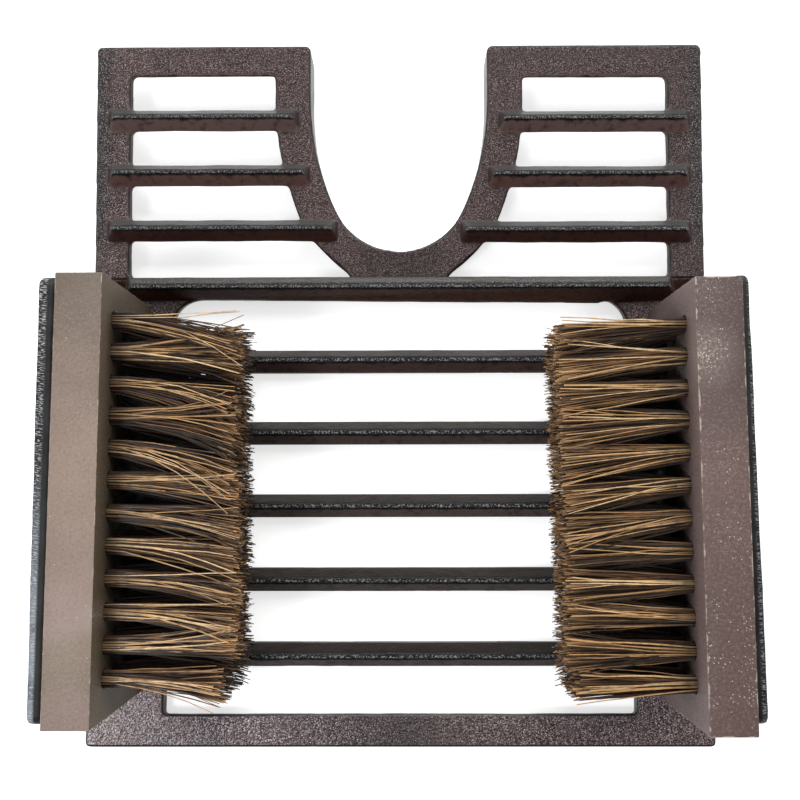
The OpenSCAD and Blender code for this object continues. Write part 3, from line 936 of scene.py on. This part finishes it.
def scatter_flecks(tree, plan, colour, speckle, x, y, outside):
    """Hazes one worn spot, and scatters dust and flecks outside, most of them in the crowd."""
    from_crowd = math_node(tree, "ABSOLUTE", minus(tree, y, plan["crowd_y"]))
    crowd_l = plan["crowd_l"]
    more = span(tree, from_crowd, crowd_l, crowd_l / 3, plan["fleck_share"], plan["crowd_share"])
    hazy = span(tree, plan_distance(tree, x, y, plan["haze_place"]), plan["haze_r"], 0.0)
    mottled = times(tree, hazy, span(tree, speckle, 0.42, 0.6, 0.05, 0.6))
    hazed = mix(tree, mottled, colour, plan["bare"])
    amount = times(tree, math_node(tree, "MAXIMUM", more, times(tree, hazy, 0.3)), outside)
    dust_share = plan["speckled"] * 0.45
    dust = place_group(tree, flecks, {"Scale": 1900.0, "Size": 0.36, "Amount": dust_share})["Mask"]
    dots = place_group(tree, flecks, {"Scale": 1150.0, "Size": 0.3, "Amount": amount})["Mask"]
    dusty = mix(tree, times(tree, dust, 0.5), hazed, plan["bare"])
    return mix(tree, dots, dusty, plan["fleck"])


# %% Painted wood
border_ragged = 20 * MM
shade_depth, shade_start = 26 * MM, 7 * MM
unshaded_end, shaded_from = 5 * MM, 18 * MM
inner_shade_black = rgb(0.012, 0.009, 0.007)
cloud_shade = rgb(0.06, 0.048, 0.042)
spot_shade = rgb(0.07, 0.055, 0.05)
wear_fade = 0.3 * MM
paint_relief = 1 * MM


def make_paint(side, plan):
    """Paint in paler and darker stretches along Y, with painted light and shade on the inner face, spotted,
    flecked and worn at the edges.
    """
    material, tree, shader, place = new_material(plan["name"])
    low, high = block_box(side)
    x, y, z = axes(tree, place)
    clouds = noise(tree, place, 30.0, 5.0)
    speckle = noise(tree, place, 900.0, 3.0)
    patches = noise(tree, place, 240.0, 4.0)
    uneven = times(tree, minus(tree, clouds, 0.5), border_ragged)

    # Paler and darker stretches along Y, darkest at the back end.
    stretch_colour = ramp(tree, span(tree, math_node(tree, "ADD", y, uneven), low.y, high.y), *plan["stretches"])
    is_inner = span(tree, times(tree, facing(tree)["X"], inwards[side]), 0.5, 0.8)
    # Painted shade: the inner face darkens down towards the tufts, less near the block's ends.
    depth = math_node(tree, "ADD", z, uneven)
    inner_shade = span(tree, depth, high.z - shade_depth, high.z - shade_start, 0.95, 0.0)
    from_end = math_node(tree, "MINIMUM", minus(tree, y, low.y), minus(tree, high.y, y))
    inner_shade = times(tree, inner_shade, span(tree, from_end, unshaded_end, shaded_from, 0.15, 1.0))
    faces = mix(tree, is_inner, stretch_colour, mix(tree, inner_shade, plan["inner"], inner_shade_black))

    speckled = plan["speckled"]
    shaded = mix(tree, span(tree, clouds, 0.42, 0.7, 0.0, 0.16), faces, cloud_shade)
    spotted = mix(tree, span(tree, speckle, 0.5, 0.7, 0.0, speckled), shaded, spot_shade)
    lit = mix(tree, span(tree, speckle, 0.46, 0.3, 0.0, speckled / 2), spotted, plan["bare"])
    flecked = scatter_flecks(tree, plan, lit, speckle, x, y, minus(tree, 1.0, is_inner))
    reach = span(tree, patches, 0.4, 0.62, 0.0, plan["wear_w"])
    rubbed = span(tree, minus(tree, reach, edge_distance(tree, place, low, high)), 0.0, wear_fade)

    tree.links.new(mix(tree, rubbed, flecked, plan["bare"]), shader.inputs["Base Color"])
    tree.links.new(span(tree, clouds, 0.3, 0.7, 0.45, 0.62), shader.inputs["Roughness"])
    shader.inputs["Specular IOR Level"].default_value = 0.35
    relief = {"Height": speckle, "Distance": speckled * paint_relief, "Strength": 0.6}
    tree.links.new(node(tree, "ShaderNodeBump", relief).outputs["Normal"], shader.inputs["Normal"])
    return material


# %% Paints of the two blocks
taupe_front = rgb(0.290, 0.224, 0.172)
taupe_mid = rgb(0.330, 0.245, 0.210)
taupe = rgb(0.322, 0.238, 0.194)
taupe_back = rgb(0.176, 0.137, 0.110)
plum_front = rgb(0.150, 0.096, 0.086)
plum = rgb(0.168, 0.110, 0.102)
plum_back = rgb(0.106, 0.070, 0.066)
# The inner colours carry painted light: darker than the top on the left block, paler on the right one.
paint_plans = {
    "left": {
        "name": "taupe_paint",
        "stretches": ((0.0, taupe_mid), (0.07, taupe_mid), (0.1, taupe_front), (0.17, taupe_front),
                  (0.2, taupe_mid), (0.45, taupe), (0.6, taupe), (1.0, taupe_back)),
        "inner": rgb(0.160, 0.120, 0.078), "bare": rgb(0.46, 0.40, 0.35), "fleck": rgb(0.6, 0.53, 0.47),
        "wear_w": 0.5 * MM, "speckled": 0.22, "fleck_share": 0.003,
        "crowd_y": -110 * MM, "crowd_l": 10 * MM, "crowd_share": 0.01,
        "haze_place": (-121 * MM, -98 * MM, 0), "haze_r": 8 * MM,
    },
    "right": {
        "name": "plum_paint",
        "stretches": ((0.0, plum_front), (0.3, plum_front), (0.55, plum), (0.8, plum_back)),
        "inner": rgb(0.26, 0.185, 0.175), "bare": rgb(0.42, 0.35, 0.31), "fleck": rgb(0.58, 0.48, 0.37),
        "wear_w": 0.8 * MM, "speckled": 0.4, "fleck_share": 0.028,
        "crowd_y": -114 * MM, "crowd_l": 24 * MM, "crowd_share": 0.5,
        "haze_place": (124.5 * MM, 6 * MM, 0), "haze_r": 16 * MM,
    },
}
paints = {side: make_paint(side, plan) for side, plan in paint_plans.items()}
print("paints:", [paint.name for paint in paints.values()])

# %% Bored blocks
edge_ease = 0.5 * MM
drill_sides = 24
block_smooth = math.radians(40)
for side in ("left", "right"):
    low, high = block_box(side)
    bpy.ops.object.select_all(action="DESELECT")
    bpy.ops.mesh.primitive_cube_add(size=1, location=(low + high) / 2, scale=high - low)
    block = bpy.context.object
    block.name = f"{side}_block"
    settle(block)
    bpy.ops.object.mode_set(mode="EDIT")
    bpy.ops.mesh.select_all(action="SELECT")
    bpy.ops.mesh.bevel(offset=edge_ease, segments=2, affect="EDGES")
    bpy.ops.object.mode_set(mode="OBJECT")
    start = tuft_place(side, 0, 0)
    bpy.ops.object.select_all(action="DESELECT")
    bpy.ops.mesh.primitive_cylinder_add(vertices=drill_sides, radius=tuft_hole_d / 2, depth=2 * tuft_hole_l,
                                        location=start, rotation=(0, math.radians(90), 0))
    drill = bpy.context.object
    settle(drill)
    pitch = tuft_place(side, 0, 1).y - start.y
    for count, step in ((tuft_columns, (0, pitch, 0)), (tuft_rows, (0, 0, -tuft_row_pitch))):
        shape_with(drill, "ARRAY", count=count, use_relative_offset=False, use_constant_offset=True,
                   constant_offset_displace=step)
    shape_with(block, "BOOLEAN", operation="DIFFERENCE", object=drill, solver="EXACT")
    bpy.data.objects.remove(drill)
    only(block)
    bpy.ops.object.shade_smooth_by_angle(angle=block_smooth)
    finish_piece(block, paints[side], f"{side}_block_paint", f"{side}_brush_block")

# %% [markdown]
# ## Fibres
# A brush is tufts of stiff plant fibre, folded in half and pulled into the holes. Each fibre here
# is a thin four-sided rod that leaves its hole straight and then bends. The left brush is worn: its
# fibres fan out and droop to the front. The right brush is nearly new and straight. The rods are
# written as plain arrays, because placing more than eight thousand of them with operators would
# take many minutes. Two attributes follow each rod: tone is its own paleness, with painted shade
# that darkens the lower rows, and along runs from root to tip.

# %% Fibre finish
root_shade = rgb(0.016, 0.009, 0.006)
cut_end = rgb(0.58, 0.33, 0.15)


def make_fibre():
    """Plant fibre from nearly black to straw, with painted shade at the root, and paler where it was cut."""
    material, tree, shader, place = new_material("plant_fibre")
    tone = attribute(tree, "tone")
    along = attribute(tree, "along")
    body = ramp(tree, tone, (0.0, rgb(0.012, 0.006, 0.003)), (0.3, rgb(0.060, 0.026, 0.010)),
                (0.6, rgb(0.24, 0.117, 0.043)), (0.85, rgb(0.56, 0.325, 0.130)), (1.0, rgb(0.86, 0.60, 0.33)))
    mottle = noise(tree, place, 330.0, 3.0)
    darker = mix(tree, span(tree, mottle, 0.45, 0.7, 0.0, 0.5), body, rgb(0.05, 0.028, 0.016))
    # Painted shade near the roots.
    rooted = mix(tree, span(tree, along, 0.08, 0.4, 0.8, 0.0), darker, root_shade)
    cut_share = times(tree, span(tree, along, 0.8, 1.0, 0.0, 0.7), span(tree, tone, 0.1, 0.5))
    tree.links.new(mix(tree, cut_share, rooted, cut_end), shader.inputs["Base Color"])
    tree.links.new(span(tree, mottle, 0.3, 0.7, 0.34, 0.55), shader.inputs["Roughness"])
    return material


fibre_finish = make_fibre()
print("made", fibre_finish.name)

# %% Fibre shapes
fibre_rings = 6
fibre_sides = 4
fibre_taper = 0.72
fibre_wobble = 0.2 * MM


def fibre_paths(rng, roots, tips, bend):
    """Points along fibres that leave their roots straight and then bend to their tips."""
    along = np.linspace(0, 1, fibre_rings)[None, :, None] * np.ones((len(roots), 1, 1))
    late = along ** (bend * rng.uniform(0.75, 1.35, (len(roots), 1, 1)))
    pace = np.concatenate([along, late, late], axis=2)
    paths = roots[:, None] + (tips - roots)[:, None] * pace
    wobble = rng.normal(0, fibre_wobble, paths.shape)
    wobble[:, 0] = 0
    return paths + wobble


def rods(name, paths, thickness, tones):
    """A mesh of closed, tapered, four-sided rods along paths."""
    count = len(paths)
    corners = np.radians(45 + 90 * np.arange(fibre_sides))
    taper = np.linspace(1.0, fibre_taper, fibre_rings)
    radius = thickness[:, None, None] / 2 * taper[None, :, None]
    points = np.repeat(paths[:, :, None, :], fibre_sides, axis=2)
    points[..., 1] += radius * np.cos(corners)
    points[..., 2] += radius * np.sin(corners)
    faces = []
    for ring in range(fibre_rings - 1):
        for corner in range(fibre_sides):
            a = ring * fibre_sides + corner
            b = ring * fibre_sides + (corner + 1) % fibre_sides
            faces.append((a, b, b + fibre_sides, a + fibre_sides))
    last = (fibre_rings - 1) * fibre_sides
    faces.append(tuple(reversed(range(fibre_sides))))
    faces.append(tuple(range(last, last + fibre_sides)))
    if paths[0, -1, 0] < paths[0, 0, 0]:
        faces = [tuple(reversed(face)) for face in faces]
    all_faces = np.array(faces)[None] + (np.arange(count) * fibre_rings * fibre_sides)[:, None, None]
    mesh = bpy.data.meshes.new(name)
    mesh.from_pydata(points.reshape(-1, 3), [], all_faces.reshape(-1, 4))
    write_attribute(mesh, "tone", np.repeat(tones, fibre_rings * fibre_sides))
    along = np.tile(np.repeat(np.linspace(0, 1, fibre_rings), fibre_sides), count)
    write_attribute(mesh, "along", along)
    obj = bpy.data.objects.new(name, mesh)
    bpy.context.scene.collection.objects.link(obj)
    return obj


# %% [markdown]
# ## Brushes
# The rows of a brush overlap when seen from above, so the upper row has to look right and the lower
# ones fill the gaps: they fan out more and are darker by painted shade. Fibres of a tuft stick
# together in a few clumps, which lean their own way. A few loose, pale ones cross the top. At both
# ends of a brush the fibres are held back, so that they don't hang over the frame. All the chances
# come from seeded generators, so every run grows the same brush.

# %% How the two brushes differ
fibres_in_tuft = 90
clumps = 4
strays_in_tuft = 5
fibre_thin, fibre_thick = 0.45, 0.9
fibre_foot = 12 * MM
root_depth = 4 * MM
tuft_r = tuft_hole_d / 2 - 0.6 * MM
golden_angle = math.radians(137.508)
row_fan = (1.0, 1.4, 2.3, 3.2)
row_trim = 0.8 * MM
front_droop, droop_step = 0.4, 0.13
# row_light is painted shade that darkens the lower rows.
brushes = {
    "left": {
        "seed": 11, "tip_x": -64.2 * MM, "slant": -0.12 * MM, "front_short": 4.5 * MM,
        "ragged": 2.8 * MM, "tuft_ragged": 1.4 * MM, "fan": 1.7, "bend": 1.9,
        "droop": -6 * MM, "sag": -3 * MM, "stray": 3.6 * MM, "lean": 2.6 * MM,
        "front_reach": 13 * MM, "rear_reach": 3 * MM, "row_light": (1.0, 0.62, 0.38, 0.25),
    },
    "right": {
        "seed": 23, "tip_x": 67.3 * MM, "slant": -0.2 * MM, "front_short": 2.5 * MM,
        "ragged": 2.0 * MM, "tuft_ragged": 1.4 * MM, "fan": 2.0, "bend": 1.2,
        "droop": -2 * MM, "sag": 0.0, "stray": 2.2 * MM, "lean": 2.0 * MM,
        "front_reach": 7 * MM, "rear_reach": 2.5 * MM, "row_light": (1.0, 0.9, 0.8, 0.7),
    },
}
print("fibres:", len(brushes) * tuft_rows * tuft_columns * fibres_in_tuft)


# %% Brushes
def brush_row(side, row):
    """The fibres of one row of tufts."""
    brush = brushes[side]
    rng = np.random.default_rng(brush["seed"] + row)
    outward = inwards[side]
    count = fibres_in_tuft
    turn = np.arange(count) * golden_angle
    reach = tuft_r * np.sqrt((np.arange(count) + 0.5) / count)
    offset = np.stack([np.cos(turn) * reach, np.sin(turn) * reach], axis=1)
    full_turn = 2 * math.pi
    stray = brush["stray"]
    roots, tips, tones = [], [], []
    for column in range(tuft_columns):
        middle = np.array(tuft_place(side, row, column))
        root = np.empty((count, 3))
        root[:, 0] = middle[0] - outward * root_depth
        root[:, 1:] = middle[1:] + offset
        tip = np.empty((count, 3))
        short = np.abs(rng.normal(0, brush["ragged"], count)) + np.abs(rng.normal(0, brush["tuft_ragged"]))
        if column == 0:
            short += brush["front_short"]
        tip[:, 0] = brush["tip_x"] + column * brush["slant"] - outward * (short + row * row_trim)
        free = front_droop + column * droop_step
        lean = rng.normal(0, brush["lean"], 2) * (free, 0.4) + (brush["droop"] * free, brush["sag"])
        tip[:, 1:] = middle[1:] + offset * brush["fan"] * (row_fan[row], 1.0) + lean
        clump = ((turn + rng.uniform(0, full_turn)) % full_turn * clumps / full_turn).astype(int)
        tip[:, 1:] += rng.normal(0, stray, (clumps, 2))[clump] * (1, 0.6)
        tip[:, 1:] += rng.normal(0, stray, (count, 2)) * (0.7, 0.5)
        tone = rng.beta(0.8, 1.1, count) * brush["row_light"][row] * rng.uniform(0.6, 1.2, clumps)[clump]
        if row == 0:
            loose = np.argsort(-offset[:, 1])[:strays_in_tuft]
            tip[loose, 1] += np.clip(rng.normal(0, 0.8, strays_in_tuft), -1, 1) * 2 * free * stray
            tip[loose, 2] += rng.uniform(1, 4, strays_in_tuft) * MM
            tone[loose] = rng.uniform(0.75, 1.0, strays_in_tuft)
        if column == 0:
            front_most = middle[1] - brush["front_reach"] * rng.uniform(0.8, 1.0, count)
            tip[:, 1] = np.maximum(tip[:, 1], front_most)
        elif column == tuft_columns - 1:
            rear_most = middle[1] + brush["rear_reach"] * rng.uniform(0.6, 1.0, count)
            tip[:, 1] = np.minimum(tip[:, 1], rear_most)
        roots.append(root)
        tips.append(tip)
        tones.append(tone)
    roots, tips, tones = (np.concatenate(parts) for parts in (roots, tips, tones))
    paths = fibre_paths(rng, roots, tips, brush["bend"] if row == 0 else 1.0)
    thickness = rng.uniform(fibre_thin, fibre_thick, len(roots)) * MM
    return rods(f"{side}_fibres_{row + 1}", paths, thickness, tones)


fibre_low = Vector((cad_low.x, cad_low.y, fibre_foot))
for side in brushes:
    for row in range(tuft_rows):
        fibres = brush_row(side, row)
        keep_inside(fibres, fibre_low, cad_high)
        finish_piece(fibres, fibre_finish, "fibre", f"{side}_bristles_{row + 1}")

# %% [markdown]
# ## Screws and washers
# Two round-headed wood screws go through each cheek into the block, over a flat washer. A screw is a
# turned part, so its half outline is spun round its axis, and a thin box cuts the slot in its head.


# %% Steel finish
def make_steel():
    """Grey steel with blotches of rust."""
    material, tree, shader, place = new_material("weathered_steel")
    blotches = noise(tree, place, 420.0, 5.0)
    tone = ramp(tree, blotches, (0.42, rgb(0.30, 0.295, 0.29)), (0.62, rgb(0.09, 0.052, 0.034)))
    tree.links.new(tone, shader.inputs["Base Color"])
    tree.links.new(span(tree, blotches, 0.45, 0.6, 1.0, 0.15), shader.inputs["Metallic"])
    tree.links.new(span(tree, blotches, 0.4, 0.65, 0.36, 0.7), shader.inputs["Roughness"])
    bump = node(tree, "ShaderNodeBump", {"Height": blotches, "Distance": 0.1 * MM, "Strength": 0.6})
    tree.links.new(bump.outputs["Normal"], shader.inputs["Normal"])
    return material


steel = make_steel()
for cad_name in ("left_screw_washers", "right_screw_washers", "left_tuft_anchors", "right_tuft_anchors"):
    nodes[cad_name].data.materials.clear()
    nodes[cad_name].data.materials.append(steel)
print("steel on washers and anchors")

# %% Screws
head_r = 4 * MM
head_h = 2.6 * MM
shank_r = 2 * MM
point_l = 3 * MM
slot_w = 1.1 * MM
slot_depth = 1.3 * MM
slot_turn = math.radians(35)
screw_smooth = math.radians(35)
spin_steps = 32
dome_steps = 6


def turned_screw(name, head_x, tip_x, y, z):
    """A round-headed screw along X, from its head's top to its point."""
    out = 1 if head_x > tip_x else -1
    seat_x = head_x - out * head_h
    dome = [
        (seat_x + out * head_h * math.sin(angle), head_r * math.cos(angle))
        for angle in np.linspace(math.radians(90), 0, dome_steps)
    ]
    outline = dome + [(seat_x, shank_r), (tip_x + out * point_l, shank_r), (tip_x, 0.0)]
    mesh = bpy.data.meshes.new(name)
    mesh.from_pydata([(x, y, z + r) for x, r in outline], [(i, i + 1) for i in range(len(outline) - 1)], [])
    screw = bpy.data.objects.new(name, mesh)
    bpy.context.scene.collection.objects.link(screw)
    only(screw)
    bpy.ops.object.mode_set(mode="EDIT")
    bpy.ops.mesh.select_all(action="SELECT")
    bpy.ops.mesh.spin(steps=spin_steps, angle=2 * math.pi, center=(0, y, z), axis=(1, 0, 0))
    bpy.ops.mesh.select_all(action="SELECT")
    bpy.ops.mesh.remove_doubles(threshold=touch)
    bpy.ops.mesh.normals_make_consistent(inside=False)
    bpy.ops.object.mode_set(mode="OBJECT")
    bpy.ops.object.select_all(action="DESELECT")
    bpy.ops.mesh.primitive_cube_add(size=1, location=(head_x, y, z), rotation=(slot_turn, 0, 0),
                                    scale=(2 * slot_depth, slot_w, 3 * head_r))
    cutter = bpy.context.object
    settle(cutter)
    shape_with(screw, "BOOLEAN", operation="DIFFERENCE", object=cutter, solver="EXACT")
    bpy.data.objects.remove(cutter)
    only(screw)
    bpy.ops.object.shade_smooth_by_angle(angle=screw_smooth)
    return screw


for side in ("left", "right"):
    low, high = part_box(f"{side}_brush_screws")
    head_x, tip_x = (low.x, high.x) if side == "left" else (high.x, low.x)
    z = (low.z + high.z) / 2
    pair = [turned_screw(f"{side}_screws", head_x, tip_x, y, z) for y in (low.y + head_r, high.y - head_r)]
    only(pair[0])
    pair[1].select_set(True)
    bpy.ops.object.join()
    finish_piece(pair[0], steel, "steel", f"{side}_brush_screws")

# %% [markdown]
# ## Measure
# The dressed object must keep the CAD model's size, so both boxes are written down side by side.

# %% Sizes and finish
low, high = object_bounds()
print("visual box in millimetres:", [round(size / MM, 1) for size in high - low])
